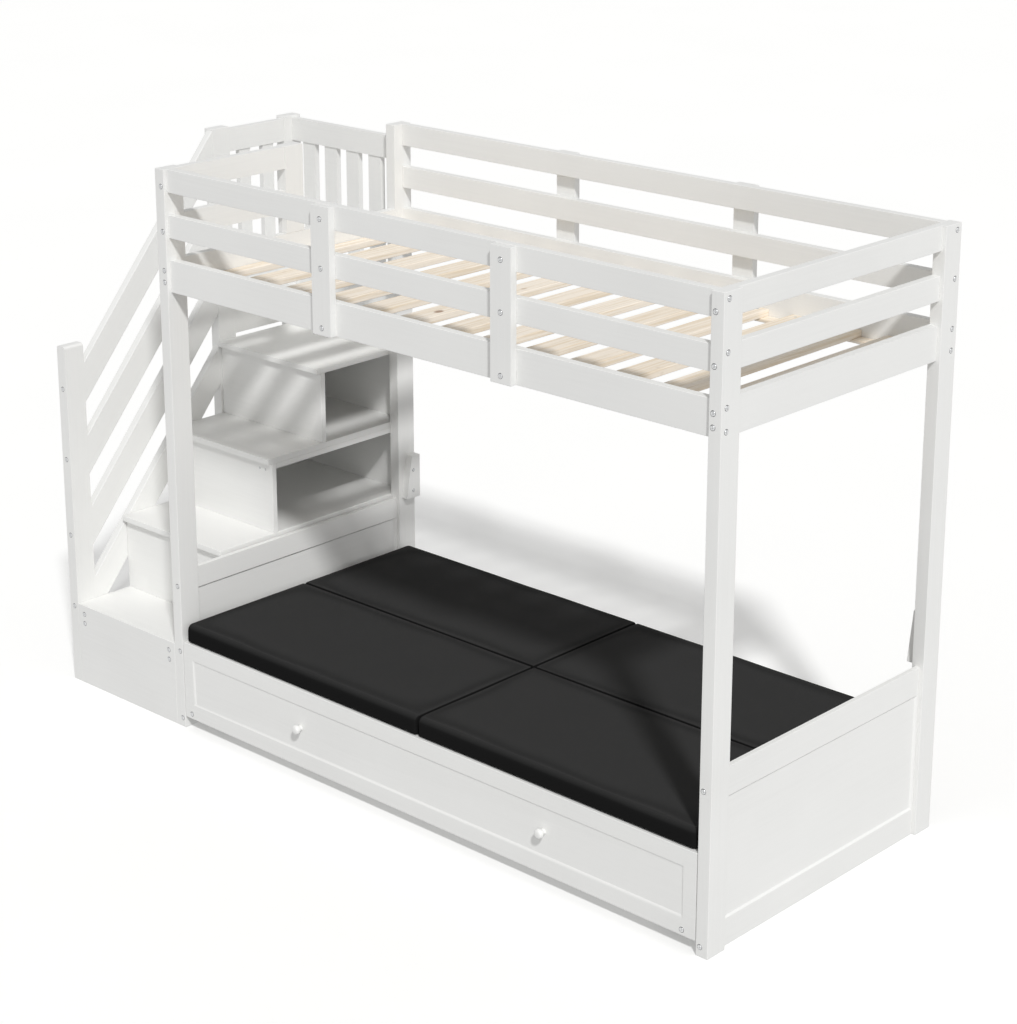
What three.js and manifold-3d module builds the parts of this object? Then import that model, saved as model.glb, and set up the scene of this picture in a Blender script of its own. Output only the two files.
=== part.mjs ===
// Loft bed with storage stairs, a cushioned lower bunk and a rolling trundle.
// Millimetres, +Z up, the long front faces -Y, the stairs stand at the -X end.
// Levels and positions below are read in the bed's own frame: the middle of the
// bed frame in X and Y, the floor at zero. The last lines move the whole part so
// that the middle of its bounding box stands at the origin.
import * as THREE from 'three';
import Module from 'manifold-3d';
import { ConvexGeometry } from 'three/addons/geometries/ConvexGeometry.js';
import { mergeVertices } from 'three/addons/utils/BufferGeometryUtils.js';

const wasm = await Module();
wasm.setup();

// Bed frame
const bedHalfLength = 1030;
const bedHalfWidth = 495;
const postAcrossX = 38;
const postAcrossY = 71;
const bedHeight = 1727;
const postInnerX = bedHalfLength - postAcrossX;
const postInnerY = bedHalfWidth - postAcrossY;

// Rails, shared by the bed and the gallery of the stairs
const railThickness = 25;
const railRecess = 12;
const guardRailHeight = 68;
const guardRailPitch = 133.5;
const topRailBottom = bedHeight - guardRailHeight;
const middleRailBottom = topRailBottom - guardRailPitch;
const bunkSideHeight = 362;
const sideRailHeight = 96;
const sideRailBottom = bedHeight - bunkSideHeight;
const sideRailTop = sideRailBottom + sideRailHeight;

// Entry post and upright stanchions
const entryPostFront = -31;
const entryPostBack = entryPostFront + postAcrossY;
const notchClearance = 0.3;
const notchOverrun = 1;
const stanchionWidth = 71;
const stanchionThickness = 22;
const stanchionCentre = 331;
const stanchionRise = 1;
const stanchionDrop = 2;
const stanchionBottom = sideRailBottom + stanchionRise;
const stanchionTop = bedHeight - stanchionDrop;

// Slatted base of the upper bunk
const slatCount = 12;
const slatRightMargin = 115;
const slatLeftMargin = 158.5;
const slatLast = postInnerX - slatRightMargin;
const slatPitch = (slatLast + postInnerX - slatLeftMargin) / (slatCount - 1);
const slatWidth = 75;
const endSlatClearance = 1;
const endSlatWidth = 45;
const slatThickness = 20;
const slatDrop = 66;
const slatTop = sideRailTop - slatDrop;
const ledgeWidth = 40;
const ledgeHeight = 10;
const slatSeat = 1;

// Lower end panels, each with a cleat for the lower deck
const endPanelTop = 500;
const endPanelThickness = 15;
const panelTopRailOutside = 81;
const panelTopRailInside = 67;
const panelBottomRail = 78;
const panelMargin = 7;
const panelFieldDepth = 5;
const panelBevel = 5;
const cleatWidth = 32;
const cleatHeight = 25;
const cleatSeat = 1;

// Lower deck, in two halves
const deckTop = 284;
const deckThickness = 18;
const deckUnder = deckTop - deckThickness;
const deckFrontSetback = 30;
const deckFront = -bedHalfWidth + deckFrontSetback;
const deckSeamFront = -13.5;
const deckSeamBack = -12.5;
const deckEndClearance = 1;
const deckStiffenerTall = 36;
const deckStiffenerWide = 25;
const deckStiffenerSeat = 2;
const backRailHeight = 80;

// Seat cushions
const cushionThickness = 58;
const cushionFrontSetback = 8;
const cushionBackSetback = 39;
const cushionEndClearance = 7;
const cushionFront = -bedHalfWidth + cushionFrontSetback;
const cushionBack = bedHalfWidth - cushionBackSetback;
const cushionHalfLength = postInnerX - cushionEndClearance;
const cushionSeamGap = 3;
const cushionSeamY = (deckSeamFront + deckSeamBack) / 2;
const cushionCornerRadius = 13;
const cushionCrown = 3;
const cushionDrawIn = 1.5;
const cushionSeat = 0.3;
const cushionCellsLong = 20;
const cushionCellsWide = 12;
const cushionCellsTall = 6;

// Backrest brackets on the back posts
const bracketThickness = 25;
const bracketBottom = 499;
const bracketTop = 642;
const bracketFootDepth = 59;
const bracketHeadDepth = 36;

// Rolling trundle
const trundleFrontThickness = 25;
const trundleEndClearance = 3;
const trundleHalfLength = postInnerX - trundleEndClearance;
const trundleBottom = 38;
const trundleTop = 282;
const trundleStile = 41;
const trundleFieldHalfLength = trundleHalfLength - trundleStile;
const trundleFieldBottom = 86;
const trundleFieldTop = 233;
const trundleFieldDepth = 4;
const trundleFieldBevel = 7;
const trayEndSetback = 23;
const trayBackSetback = 75;
const trayHalfLength = trundleHalfLength - trayEndSetback;
const trayBack = bedHalfWidth - trayBackSetback;
const trayBoard = 25;
const trayBottomThickness = 12;
const trayFloorUnder = 62;
const trayWallTop = 218;
const knobSpacing = 946;
const knobCentreZ = 161;
const knobReach = 28;
const knobProfile = [[9, 0], [8, 2.5], [8.2, 8], [11, 12], [13.5, 16], [13.8, 20], [12, 25.5], [7, knobReach]];
const knobSides = 28;
const wheelRadius = 28;
const wheelThickness = 24;
const wheelTreadRadius = 4;
const wheelBoreRadius = 4.1;
const axleRadius = 4.04;
const wheelSides = 36;
const wheelEndSetback = 86;
const wheelFrontSetback = 95;
const wheelBackSetback = 70;
const wheelCentreX = trayHalfLength - wheelEndSetback;
const wheelFrontY = -bedHalfWidth + wheelFrontSetback;
const wheelBackY = trayBack - wheelBackSetback;
const forkCheekThickness = 4;
const forkClearance = 1;
const forkCheekLength = 26;
const forkCheekBottom = 20;
const forkSeat = 4;

// Storage stairs: three risers above a first step, the fourth tread is a landing
const stairWidth = 473;
const stairRight = -bedHalfLength;
const stairLeft = stairRight - stairWidth;
const stepRise = 244;
const firstTreadTop = 265;
const treadCount = 4;
const landingDepth = 375;
const stepRun = (2 * bedHalfWidth - landingDepth) / (treadCount - 1);
const landingSetback = 7;
const stairBoard = 18;
const nosing = 15;
const stairBackInner = bedHalfWidth - stairBoard;
const doubledShelf = 18;
const seamGroove = 1.5;

// Posts and sloping rails of the stairs
const stairPostLeft = stairLeft - postAcrossX;
const newelTop = 1103;
const newelCrownRadius = 9;
const newelCrownSteps = 5;
const stairPostFront = bedHalfWidth - landingDepth;
const stairPostDrop = 37;
const stairPostTop = bedHeight - stairPostDrop;
const slopeShare = 1.19;
const slopeRailLowest = 269.5;
const slopeRailPitch = 235;
const slopeRailCount = 4;
const slopeRailDepth = 127.5;

// Gallery round the landing
const galleryRailDrop = 8;
const galleryRailHeight = 73;
const galleryRailTop = stairPostTop - galleryRailDrop;
const galleryRailBottom = galleryRailTop - galleryRailHeight;
const galleryPanelGap = 12;
const galleryPanelHeight = 221;
const galleryPanelBottom = firstTreadTop + (treadCount - 1) * stepRise + galleryPanelGap;
const galleryPanelTop = galleryPanelBottom + galleryPanelHeight;
const gallerySlatThickness = 18;
const gallerySlatTenon = 10;
const leftSlatWide = 46;
const leftSlatShares = [0.184, 0.609];
const backSlatWide = 56;
const backSlatShares = [0.1015, 0.3171, 0.5307, 0.7463];

// Surfaces
const whitePaint = new THREE.MeshStandardMaterial({ color: 0xe9e8e5, roughness: 0.5, metalness: 0 });
const rawPine = new THREE.MeshStandardMaterial({ color: 0xdcb98c, roughness: 0.62, metalness: 0 });
const blackCloth = new THREE.MeshStandardMaterial({ color: 0x17181b, roughness: 0.85, metalness: 0 });
const greyRubber = new THREE.MeshStandardMaterial({ color: 0x3a3b3d, roughness: 0.7, metalness: 0 });

const half = (value) => value / 2;
const quarterTurn = half(Math.PI);

function weld(geometry) {
  geometry.deleteAttribute('normal');
  geometry.deleteAttribute('uv');
  return mergeVertices(geometry);
}

function block(x0, x1, y0, y1, z0, z1) {
  const geometry = new THREE.BoxGeometry(x1 - x0, y1 - y0, z1 - z0);
  geometry.translate(half(x0 + x1), half(y0 + y1), half(z0 + z1));
  return geometry;
}

// A flat outline in Y and Z, as thick in X as x1 - x0.
function profileAlongX(points, x0, x1) {
  const shape = new THREE.Shape(points.map(([y, z]) => new THREE.Vector2(y, z)));
  const geometry = new THREE.ExtrudeGeometry(shape, { depth: x1 - x0, bevelEnabled: false });
  geometry.rotateX(quarterTurn);
  geometry.rotateZ(quarterTurn);
  geometry.translate(x0, 0, 0);
  return geometry;
}

// A flat outline in X and Z, as thick in Y as y1 - y0.
function profileAlongY(points, y0, y1) {
  const shape = new THREE.Shape(points.map(([x, z]) => new THREE.Vector2(x, z)));
  const geometry = new THREE.ExtrudeGeometry(shape, { depth: y1 - y0, bevelEnabled: false });
  geometry.rotateX(quarterTurn);
  geometry.translate(0, y1, 0);
  return geometry;
}

// A flat outline in X and Y, as tall as z1 - z0.
function profileAlongZ(points, z0, z1) {
  const shape = new THREE.Shape(points.map(([x, y]) => new THREE.Vector2(x, y)));
  const geometry = new THREE.ExtrudeGeometry(shape, { depth: z1 - z0, bevelEnabled: false });
  geometry.translate(0, 0, z0);
  return geometry;
}

function toManifold(geometry) {
  const welded = weld(geometry.clone());
  return new wasm.Manifold(new wasm.Mesh({
    numProp: 3,
    vertProperties: new Float32Array(welded.attributes.position.array),
    triVerts: new Uint32Array(welded.index.array),
  }));
}

function fromManifold(solid) {
  const mesh = solid.getMesh();
  const geometry = new THREE.BufferGeometry();
  geometry.setAttribute('position', new THREE.BufferAttribute(new Float32Array(mesh.vertProperties), 3));
  geometry.setIndex(new THREE.BufferAttribute(new Uint32Array(mesh.triVerts), 1));
  geometry.computeVertexNormals();
  return geometry;
}

function joined(geometries) {
  return fromManifold(geometries.map(toManifold).reduce((whole, next) => whole.add(next)));
}

function cutFrom(geometry, cutters) {
  return fromManifold(cutters.map(toManifold).reduce((rest, next) => rest.subtract(next), toManifold(geometry)));
}

// A bevel-sided pocket sunk from a face: the outline in u and v shrinks by the
// bevel at the pocket's floor. It starts a little outside the face.
function pocket(place, face, inward, depth, bevel, u0, u1, v0, v1) {
  const lead = depth;
  const slope = bevel / depth;
  const points = [];
  for (const [level, inset] of [[-lead, -lead * slope], [depth, bevel]]) {
    const w = face + inward * level;
    for (const u of [u0 + inset, u1 - inset]) {
      for (const v of [v0 + inset, v1 - inset]) {
        points.push(place(u, v, w));
      }
    }
  }
  return new ConvexGeometry(points);
}

const sceneRoot = new THREE.Group();
sceneRoot.name = 'loft_bed_with_storage_stairs';

function group(name) {
  const holder = new THREE.Group();
  holder.name = name;
  sceneRoot.add(holder);
  return holder;
}

function add(parent, name, geometry, material) {
  const mesh = new THREE.Mesh(geometry, material);
  mesh.name = name;
  parent.add(mesh);
  return mesh;
}

// Corner posts and entry post
const bedFrame = group('bed_frame');
const sides = [['right', 1], ['left', -1]];
const ends = [['front', -1], ['back', 1]];

function span(sign, near, far) {
  return sign > 0 ? [near, far] : [-far, -near];
}

for (const [sideName, sx] of sides) {
  for (const [endName, sy] of ends) {
    const [x0, x1] = span(sx, postInnerX, bedHalfLength);
    const [y0, y1] = span(sy, postInnerY, bedHalfWidth);
    add(bedFrame, `post_${endName}_${sideName}`, block(x0, x1, y0, y1, 0, bedHeight), whitePaint);
  }
}

const railOuterX = bedHalfLength - railRecess;
const railInnerX = railOuterX - railThickness;
const railOuterY = bedHalfWidth - railRecess;
const railInnerY = railOuterY - railThickness;

const entryNotch = block(
  -railOuterX - notchClearance, -postInnerX + notchOverrun,
  entryPostFront - notchOverrun, entryPostBack + notchOverrun,
  0, sideRailTop,
);
add(bedFrame, 'entry_post', cutFrom(
  block(-bedHalfLength, -postInnerX, entryPostFront, entryPostBack, sideRailBottom, bedHeight),
  [entryNotch],
), whitePaint);

// Rails of the upper bunk
const railRows = [
  ['top', topRailBottom, topRailBottom + guardRailHeight],
  ['middle', middleRailBottom, middleRailBottom + guardRailHeight],
  ['side', sideRailBottom, sideRailTop],
];
for (const [rowName, z0, z1] of railRows) {
  for (const [endName, sy] of ends) {
    const [y0, y1] = span(sy, railInnerY, railOuterY);
    add(bedFrame, `${rowName}_rail_${endName}`, block(-postInnerX, postInnerX, y0, y1, z0, z1), whitePaint);
  }
  add(bedFrame, `${rowName}_rail_right_end`,
    block(railInnerX, railOuterX, -postInnerY, postInnerY, z0, z1), whitePaint);
  const leftRailBack = rowName === 'side' ? postInnerY : entryPostFront;
  add(bedFrame, `${rowName}_rail_left_end`,
    block(-railOuterX, -railInnerX, -postInnerY, leftRailBack, z0, z1), whitePaint);
}

// Stanchions on the outside of the long rails
for (const [sideName, sx] of sides) {
  for (const [endName, sy] of ends) {
    const [y0, y1] = span(sy, railOuterY, railOuterY + stanchionThickness);
    const x = sx * stanchionCentre;
    add(bedFrame, `stanchion_${endName}_${sideName}`,
      block(x - half(stanchionWidth), x + half(stanchionWidth), y0, y1, stanchionBottom, stanchionTop),
      whitePaint);
  }
}

// Slats on two ledges, the last at the left end trimmed to the room that is left
const slatUnder = slatTop - slatThickness;
const slatParts = [];
for (let i = 0; i < slatCount; i += 1) {
  const x = slatLast - i * slatPitch;
  slatParts.push(block(x - half(slatWidth), x + half(slatWidth), -railInnerY, railInnerY, slatUnder, slatTop));
}
const endSlatLeft = -postInnerX + endSlatClearance;
slatParts.push(
  block(endSlatLeft, endSlatLeft + endSlatWidth, -railInnerY, railInnerY, slatUnder, slatTop));
for (const [, sy] of ends) {
  const [y0, y1] = span(sy, railInnerY - ledgeWidth, railInnerY);
  slatParts.push(block(-postInnerX, postInnerX, y0, y1, slatUnder - ledgeHeight, slatUnder + slatSeat));
}
add(bedFrame, 'slatted_base', joined(slatParts), rawPine);

// Lower end panels with their cleats
const lowerBunk = group('lower_bunk');
for (const [sideName, sx] of sides) {
  const panelInnerX = railOuterX - endPanelThickness;
  const [x0, x1] = span(sx, panelInnerX, railOuterX);
  const [c0, c1] = span(sx, panelInnerX - cleatWidth, panelInnerX + cleatSeat);
  const fieldSide = postInnerY - panelMargin;
  const place = (u, v, w) => new THREE.Vector3(w, u, v);
  const board = joined([
    block(x0, x1, -postInnerY, postInnerY, 0, endPanelTop),
    block(c0, c1, -postInnerY, postInnerY, deckUnder - cleatHeight, deckUnder),
  ]);
  add(lowerBunk, `end_panel_${sideName}`, cutFrom(board, [
    pocket(place, sx * railOuterX, -sx, panelFieldDepth, panelBevel,
      -fieldSide, fieldSide, panelBottomRail, endPanelTop - panelTopRailOutside),
    pocket(place, sx * panelInnerX, sx, panelFieldDepth, panelBevel,
      -fieldSide, fieldSide, deckTop, endPanelTop - panelTopRailInside),
  ]), whitePaint);
}

// Lower deck
const deckHalf = railOuterX - endPanelThickness - deckEndClearance;
const stiffenerHalf = deckHalf - cleatWidth;
const stiffenerLow = deckUnder - deckStiffenerTall;
const stiffenerHigh = deckUnder + deckStiffenerSeat;
add(lowerBunk, 'deck_front', joined([
  block(-deckHalf, deckHalf, -postInnerY + deckEndClearance, deckSeamFront, deckUnder, deckTop),
  block(-postInnerX + deckEndClearance, postInnerX - deckEndClearance,
    deckFront, -postInnerY + 2 * deckEndClearance, deckUnder, deckTop),
  block(-stiffenerHalf, stiffenerHalf, deckFront, deckFront + deckStiffenerWide, stiffenerLow, stiffenerHigh),
  block(-stiffenerHalf, stiffenerHalf, deckSeamFront - deckStiffenerWide, deckSeamFront,
    stiffenerLow, stiffenerHigh),
]), whitePaint);
add(lowerBunk, 'deck_back', joined([
  block(-deckHalf, deckHalf, deckSeamBack, postInnerY - deckEndClearance, deckUnder, deckTop),
  block(-postInnerX + deckEndClearance, postInnerX - deckEndClearance,
    postInnerY - 2 * deckEndClearance, railOuterY, deckUnder, deckTop),
  block(-postInnerX, postInnerX, railInnerY, railOuterY, deckTop - backRailHeight, deckTop),
  block(-stiffenerHalf, stiffenerHalf, deckSeamBack, deckSeamBack + deckStiffenerWide,
    stiffenerLow, stiffenerHigh),
]), whitePaint);

// Cushions: rounded edges, a low crown and drawn-in sides
function cushion(x0, x1, y0, y1, z0, z1) {
  const size = [x1 - x0, y1 - y0, z1 - z0];
  const centre = [half(x0 + x1), half(y0 + y1), half(z0 + z1)];
  const cells = [cushionCellsLong, cushionCellsWide, cushionCellsTall];
  const geometry = weld(new THREE.BoxGeometry(...size, ...cells));
  const position = geometry.attributes.position;
  const reach = size.map((value) => half(value));
  const limits = reach.map((value, axis) => value - (axis === 2 ? cushionCrown : 0));
  const core = limits.map((value) => value - cushionCornerRadius);
  for (let i = 0; i < position.count; i += 1) {
    const raw = [position.getX(i), position.getY(i), position.getZ(i)];
    const share = raw.map((value, axis) => value / reach[axis]);
    // Cells near the edges are drawn towards them, so the rounding gets points.
    const spread = share.map((value) => Math.sin(value * quarterTurn));
    const target = spread.map((value, axis) => value * limits[axis]);
    const held = target.map((value, axis) => Math.max(-core[axis], Math.min(core[axis], value)));
    const offset = target.map((value, axis) => value - held[axis]);
    const length = Math.hypot(...offset);
    const rim = length > 0 ? cushionCornerRadius / length * Math.max(...offset.map(Math.abs)) : 0;
    const scale = length > 0 ? rim / cushionCornerRadius : 0;
    const point = held.map((value, axis) => value + offset[axis] * scale);
    const rise = (1 - share[0] ** 4) * (1 - share[1] ** 4);
    const sink = cushionDrawIn * (1 - share[2] ** 2);
    point[0] -= Math.sign(share[0]) * sink * Math.abs(share[0]) ** 8;
    point[1] -= Math.sign(share[1]) * sink * Math.abs(share[1]) ** 8;
    point[2] += cushionCrown * share[2] * rise;
    position.setXYZ(i, point[0] + centre[0], point[1] + centre[1], point[2] + centre[2]);
  }
  geometry.computeVertexNormals();
  return geometry;
}

const seamHalf = half(cushionSeamGap);
const cushionRows = [
  ['front', cushionFront, cushionSeamY - seamHalf],
  ['back', cushionSeamY + seamHalf, cushionBack],
];
const cushionColumns = [
  ['right', seamHalf, cushionHalfLength],
  ['left', -cushionHalfLength, -seamHalf],
];
for (const [rowName, y0, y1] of cushionRows) {
  for (const [columnName, x0, x1] of cushionColumns) {
    add(lowerBunk, `cushion_${rowName}_${columnName}`,
      cushion(x0, x1, y0, y1, deckTop + cushionSeat, deckTop + cushionSeat + cushionThickness), blackCloth);
  }
}

// Backrest brackets
for (const [sideName, sx] of sides) {
  const [x0, x1] = span(sx, postInnerX - bracketThickness, postInnerX);
  add(lowerBunk, `backrest_bracket_${sideName}`, profileAlongX([
    [bedHalfWidth - bracketFootDepth, bracketBottom],
    [bedHalfWidth, bracketBottom],
    [bedHalfWidth, bracketTop],
    [bedHalfWidth - bracketHeadDepth, bracketTop],
  ], x0, x1), whitePaint);
}

// Trundle
const trundle = group('trundle');
const trundleFrontBack = -bedHalfWidth + trundleFrontThickness;
const placeFront = (u, v, w) => new THREE.Vector3(u, w, v);
add(trundle, 'trundle_front', cutFrom(
  block(-trundleHalfLength, trundleHalfLength, -bedHalfWidth, trundleFrontBack, trundleBottom, trundleTop),
  [pocket(placeFront, -bedHalfWidth, 1, trundleFieldDepth, trundleFieldBevel,
    -trundleFieldHalfLength, trundleFieldHalfLength, trundleFieldBottom, trundleFieldTop)],
), whitePaint);

const knobFace = -bedHalfWidth + trundleFieldDepth;
for (const [sideName, sx] of sides) {
  const outline = [[0, 0], ...knobProfile, [0, knobReach]].map(([r, reach]) => new THREE.Vector2(r, reach));
  const geometry = new THREE.LatheGeometry(outline, knobSides);
  geometry.rotateX(Math.PI);
  geometry.translate(sx * half(knobSpacing), knobFace, knobCentreZ);
  add(trundle, `knob_${sideName}`, fromManifold(toManifold(geometry)), whitePaint);
}

function cylinderAlongX(radius, length, segments) {
  const geometry = new THREE.CylinderGeometry(radius, radius, length, segments);
  geometry.rotateZ(quarterTurn);
  return geometry;
}

const trayParts = [
  block(-trayHalfLength, trayHalfLength, trundleFrontBack, trayBack,
    trayFloorUnder, trayFloorUnder + trayBottomThickness),
  block(-trayHalfLength, trayHalfLength, trayBack - trayBoard, trayBack, trayFloorUnder, trayWallTop),
  block(-trayHalfLength, -trayHalfLength + trayBoard, trundleFrontBack, trayBack, trayFloorUnder, trayWallTop),
  block(trayHalfLength - trayBoard, trayHalfLength, trundleFrontBack, trayBack, trayFloorUnder, trayWallTop),
];
const wheelPlaces = [];
for (const [sideName, sx] of sides) {
  wheelPlaces.push([`wheel_front_${sideName}`, sx * wheelCentreX, wheelFrontY]);
  wheelPlaces.push([`wheel_back_${sideName}`, sx * wheelCentreX, wheelBackY]);
}
const cheekInner = half(wheelThickness) + forkClearance;
for (const [, x, y] of wheelPlaces) {
  for (const sign of [-1, 1]) {
    const [c0, c1] = span(sign, cheekInner, cheekInner + forkCheekThickness);
    trayParts.push(block(x + c0, x + c1, y - half(forkCheekLength), y + half(forkCheekLength),
      forkCheekBottom, trayFloorUnder + forkSeat));
  }
  const axle = cylinderAlongX(axleRadius, 2 * cheekInner + forkCheekThickness, wheelSides);
  axle.translate(x, y, wheelRadius);
  trayParts.push(axle);
}
add(trundle, 'trundle_tray', joined(trayParts), whitePaint);

for (const [name, x, y] of wheelPlaces) {
  const rim = half(wheelThickness);
  const shoulder = rim - wheelTreadRadius;
  const treadLow = wheelRadius - wheelTreadRadius;
  const outline = [
    new THREE.Vector2(0, -rim), new THREE.Vector2(treadLow, -rim), new THREE.Vector2(wheelRadius, -shoulder),
    new THREE.Vector2(wheelRadius, shoulder), new THREE.Vector2(treadLow, rim), new THREE.Vector2(0, rim),
  ];
  const solid = new THREE.LatheGeometry(outline, wheelSides);
  solid.rotateZ(quarterTurn);
  const bore = cylinderAlongX(wheelBoreRadius, 2 * wheelThickness, wheelSides);
  const wheel = cutFrom(solid, [bore]);
  wheel.translate(x, y, wheelRadius);
  add(trundle, name, wheel, greyRubber);
}

// Stairs
const stairs = group('storage_stairs');
const steps = [0, 1, 2, 3];
const treadTops = steps.map((i) => firstTreadTop + i * stepRise);
const riserFronts = steps.map((i) => -bedHalfWidth + i * stepRun + (i === 3 ? landingSetback : 0));
const sideInner = stairLeft + stairBoard;
const stairFrontInner = riserFronts[0] + stairBoard;
const riserBacks = riserFronts.map((y) => y + stairBoard);

add(stairs, 'stair_front_panel',
  block(stairLeft, stairRight, riserFronts[0], stairFrontInner, 0, treadTops[0]), whitePaint);
add(stairs, 'stair_back_panel',
  block(stairLeft, stairRight, stairBackInner, stairBackInner + stairBoard, 0, treadTops[3]), whitePaint);

const sideOutline = [[stairFrontInner, 0], [stairBackInner, 0], [stairBackInner, treadTops[3] - stairBoard]];
for (let i = 3; i > 0; i -= 1) {
  sideOutline.push([riserBacks[i], treadTops[i] - stairBoard]);
  sideOutline.push([riserBacks[i], treadTops[i - 1] - stairBoard]);
}
sideOutline.push([stairFrontInner, treadTops[0] - stairBoard]);
add(stairs, 'stair_side_left', profileAlongX(sideOutline, stairLeft, sideInner), whitePaint);

add(stairs, 'stair_side_right', profileAlongX([
  [stairFrontInner, 0],
  [stairBackInner, 0],
  [stairBackInner, treadTops[1] - stairBoard],
  [riserBacks[1], treadTops[1] - stairBoard],
  [riserBacks[1], treadTops[0] - stairBoard],
  [stairFrontInner, treadTops[0] - stairBoard],
], stairRight - stairBoard, stairRight), whitePaint);

add(stairs, 'tread_1', block(stairLeft, stairRight, stairFrontInner, riserBacks[1],
  treadTops[0] - stairBoard, treadTops[0]), whitePaint);
for (const i of [1, 2]) {
  const board = profileAlongZ([
    [stairLeft, riserFronts[i] - nosing],
    [stairRight, riserFronts[i] - nosing],
    [stairRight, stairBackInner],
    [sideInner, stairBackInner],
    [sideInner, riserBacks[i + 1]],
    [stairLeft, riserBacks[i + 1]],
  ], treadTops[i] - stairBoard, treadTops[i]);
  if (i === 1) {
    add(stairs, 'tread_2', board, whitePaint);
  } else {
    const shelf = block(sideInner, stairRight, riserBacks[2], stairBackInner,
      treadTops[2] - stairBoard - doubledShelf, treadTops[2] - stairBoard + seamGroove);
    const seam = block(stairRight - seamGroove, stairRight + seamGroove,
      riserBacks[2] - seamGroove, stairBackInner + seamGroove,
      treadTops[2] - stairBoard - seamGroove, treadTops[2] - stairBoard);
    add(stairs, 'tread_3', cutFrom(joined([board, shelf]), [seam]), whitePaint);
  }
}
add(stairs, 'tread_4', block(stairLeft, stairRight, riserFronts[3] - nosing, stairBackInner,
  treadTops[3] - stairBoard, treadTops[3]), whitePaint);
for (const i of [1, 2, 3]) {
  add(stairs, `riser_${i + 1}`, block(stairLeft, stairRight, riserFronts[i], riserBacks[i],
    treadTops[i - 1], treadTops[i] - stairBoard), whitePaint);
}

// Posts of the stairs
const stairPostRight = stairPostLeft + postAcrossX;
const newelOutline = [[stairPostLeft, 0], [stairPostRight, 0]];
for (const [centreX, start] of [[stairPostRight - newelCrownRadius, 0], [stairPostLeft + newelCrownRadius, 1]]) {
  for (let i = 0; i <= newelCrownSteps; i += 1) {
    const angle = (start + i / newelCrownSteps) * quarterTurn;
    newelOutline.push([
      centreX + newelCrownRadius * Math.cos(angle),
      newelTop - newelCrownRadius + newelCrownRadius * Math.sin(angle),
    ]);
  }
}
add(stairs, 'newel_post', profileAlongY(newelOutline, -bedHalfWidth, -postInnerY), whitePaint);
const stairPostBack = stairPostFront + postAcrossY;
add(stairs, 'stair_post',
  block(stairPostLeft, stairPostRight, stairPostFront, stairPostBack, 0, stairPostTop), whitePaint);
add(stairs, 'stair_corner_post',
  block(stairPostLeft, stairPostRight, postInnerY, bedHalfWidth, 0, stairPostTop), whitePaint);

// Sloping rails from the newel up to the stair post
const slopeOuterX = stairPostLeft + railRecess;
const slopeInnerX = slopeOuterX + railThickness;
const climb = (stairPostFront + postInnerY) * slopeShare;
for (let i = 0; i < slopeRailCount; i += 1) {
  const centre = slopeRailLowest + i * slopeRailPitch;
  const low = centre - half(slopeRailDepth);
  const high = centre + half(slopeRailDepth);
  add(stairs, `slope_rail_${i + 1}`, profileAlongX([
    [-postInnerY, low],
    [stairPostFront, low + climb],
    [stairPostFront, high + climb],
    [-postInnerY, high],
  ], slopeOuterX, slopeInnerX), whitePaint);
}

function placesAlong(low, high, shares) {
  return shares.map((share) => low + share * (high - low));
}

// Gallery sides: a top rail, upright slats and a solid lower board
const slatInset = half(railThickness - gallerySlatThickness);
const slatLow = galleryPanelTop - gallerySlatTenon;
const slatHigh = galleryRailBottom + gallerySlatTenon;

add(stairs, 'gallery_left', joined([
  block(slopeOuterX, slopeInnerX, stairPostBack, postInnerY, galleryRailBottom, galleryRailTop),
  block(slopeOuterX, slopeInnerX, stairPostBack, postInnerY, galleryPanelBottom, galleryPanelTop),
  ...placesAlong(stairPostBack, postInnerY, leftSlatShares).map((y) => block(
    slopeOuterX + slatInset, slopeInnerX - slatInset, y, y + leftSlatWide, slatLow, slatHigh,
  )),
]), whitePaint);
add(stairs, 'gallery_back', joined([
  block(stairPostRight, stairRight, railInnerY, railOuterY, galleryRailBottom, galleryRailTop),
  block(stairPostRight, stairRight, railInnerY, railOuterY, galleryPanelBottom, galleryPanelTop),
  ...placesAlong(stairLeft, stairRight, backSlatShares).map((x) => block(
    x, x + backSlatWide, railInnerY + slatInset, railOuterY - slatInset, slatLow, slatHigh,
  )),
]), whitePaint);

// Middle of the bounding box to the origin
const knobFrontY = knobFace - knobReach;
const stanchionBackY = railOuterY + stanchionThickness;
sceneRoot.position.set(-half(stairPostLeft + bedHalfLength), -half(knobFrontY + stanchionBackY), 0);
sceneRoot.updateMatrixWorld(true);

export default sceneRoot;
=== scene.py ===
"""Looks of a loft bed with storage stairs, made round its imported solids. Metres, Z up."""

import math

import bmesh
import bpy
from mathutils import Euler, Matrix, Vector, noise


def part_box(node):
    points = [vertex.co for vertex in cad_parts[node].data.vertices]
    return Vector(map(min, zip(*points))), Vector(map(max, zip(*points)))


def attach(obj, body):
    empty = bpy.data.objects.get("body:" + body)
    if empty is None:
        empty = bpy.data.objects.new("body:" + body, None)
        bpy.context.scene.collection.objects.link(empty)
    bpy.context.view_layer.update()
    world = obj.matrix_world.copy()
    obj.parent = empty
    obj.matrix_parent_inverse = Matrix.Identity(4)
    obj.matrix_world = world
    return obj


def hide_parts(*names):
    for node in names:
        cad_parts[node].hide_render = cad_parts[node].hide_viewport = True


bl_info = {
    "name": "Loft Bed with Storage Stairs",
    "version": (1, 0, 0),
    "blender": (4, 5, 0),
    "location": "3D View > Sidebar > Loft Bed",
    "description": "Paints the boards of a loft bed and makes its slats, cushions, knobs and bolts",
    "category": "Object",
}

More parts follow.
